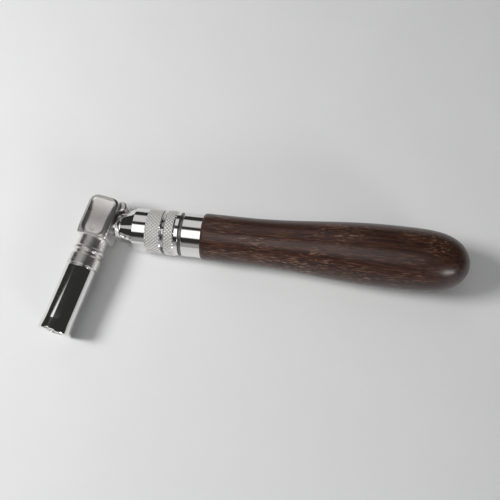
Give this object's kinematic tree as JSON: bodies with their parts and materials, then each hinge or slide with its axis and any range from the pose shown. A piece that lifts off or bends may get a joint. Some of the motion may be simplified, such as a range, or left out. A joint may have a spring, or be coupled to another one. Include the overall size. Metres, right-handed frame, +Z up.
{
  "type": "extendable piano tuning lever",
  "caption": "Extendable piano tuning lever with a screw-on star-socket tip, angled steel head, collet chuck and turned wooden grip.",
  "frame": {"origin": "centre of the socket's open mouth, on the socket axis", "axes": "+X along the handle from the head to the butt, +Z up off the bench, socket opening towards -Y and 10 degrees towards -X"},
  "size_m": [0.2449, 0.0893, 0.0376],
  "materials": {
    "handle": "satin",
    "ferrule": "polished",
    "tube_pins": "matte",
    "guide_tube": "satin",
    "tube_plug": "matte",
    "bumper": "matte",
    "chuck_body": "polished",
    "guide_key": "matte",
    "collet": "satin",
    "closing_ring": "satin",
    "chuck_nut": "polished",
    "rod": "polished",
    "rod_bush": "satin",
    "bush_screw": "matte",
    "head": "satin",
    "head_screw": "matte",
    "tip_washer": "polished",
    "tuning_tip": "polished"
  },
  "bodies": {
    "grip": {"handle": "handle", "ferrule": "ferrule", "tube_pins": "tube_pins", "guide_tube": "guide_tube", "tube_plug": "tube_plug", "bumper": "bumper", "chuck_body": "chuck_body", "guide_key": "guide_key", "collet": "collet"},
    "closing_ring": {"closing_ring": "closing_ring"},
    "nut": {"chuck_nut": "chuck_nut"},
    "rod": {"rod": "rod", "rod_bush": "rod_bush", "bush_screw": "bush_screw", "head": "head", "head_screw": "head_screw"},
    "tip_washer": {"tip_washer": "tip_washer"},
    "tip": {"tuning_tip": "tuning_tip"}
  },
  "joints": [
    {"name": "rod_extend", "type": "slide", "parent": "grip", "child": "rod", "axis": [-1, 0, 0], "range_m": [0, 0.085]},
    {"name": "ring_close", "type": "slide", "parent": "grip", "child": "closing_ring", "axis": [1, 0, 0], "range_m": [0, 0.0012]},
    {"name": "nut_turn", "type": "hinge", "parent": "closing_ring", "child": "nut", "pos_m": [0.04226, 0.06894, 0], "axis": [1, 0, 0], "range_deg": [0, 288.2]},
    {"name": "washer_travel", "type": "slide", "parent": "rod", "child": "tip_washer", "axis": [-0.1736, -0.9848, 0], "range_m": [0, 0.01143]},
    {"name": "tip_unscrew", "type": "hinge", "parent": "tip_washer", "child": "tip", "pos_m": [0, 0, 0], "axis": [-0.1736, -0.9848, 0], "range_deg": [0, 3240.5]}
  ],
  "couplings": [
    {"joint": "nut_turn", "follows": "ring_close", "rad_per_m": 4188.8},
    {"joint": "tip_unscrew", "follows": "washer_travel", "rad_per_m": 4947.4}
  ]
}
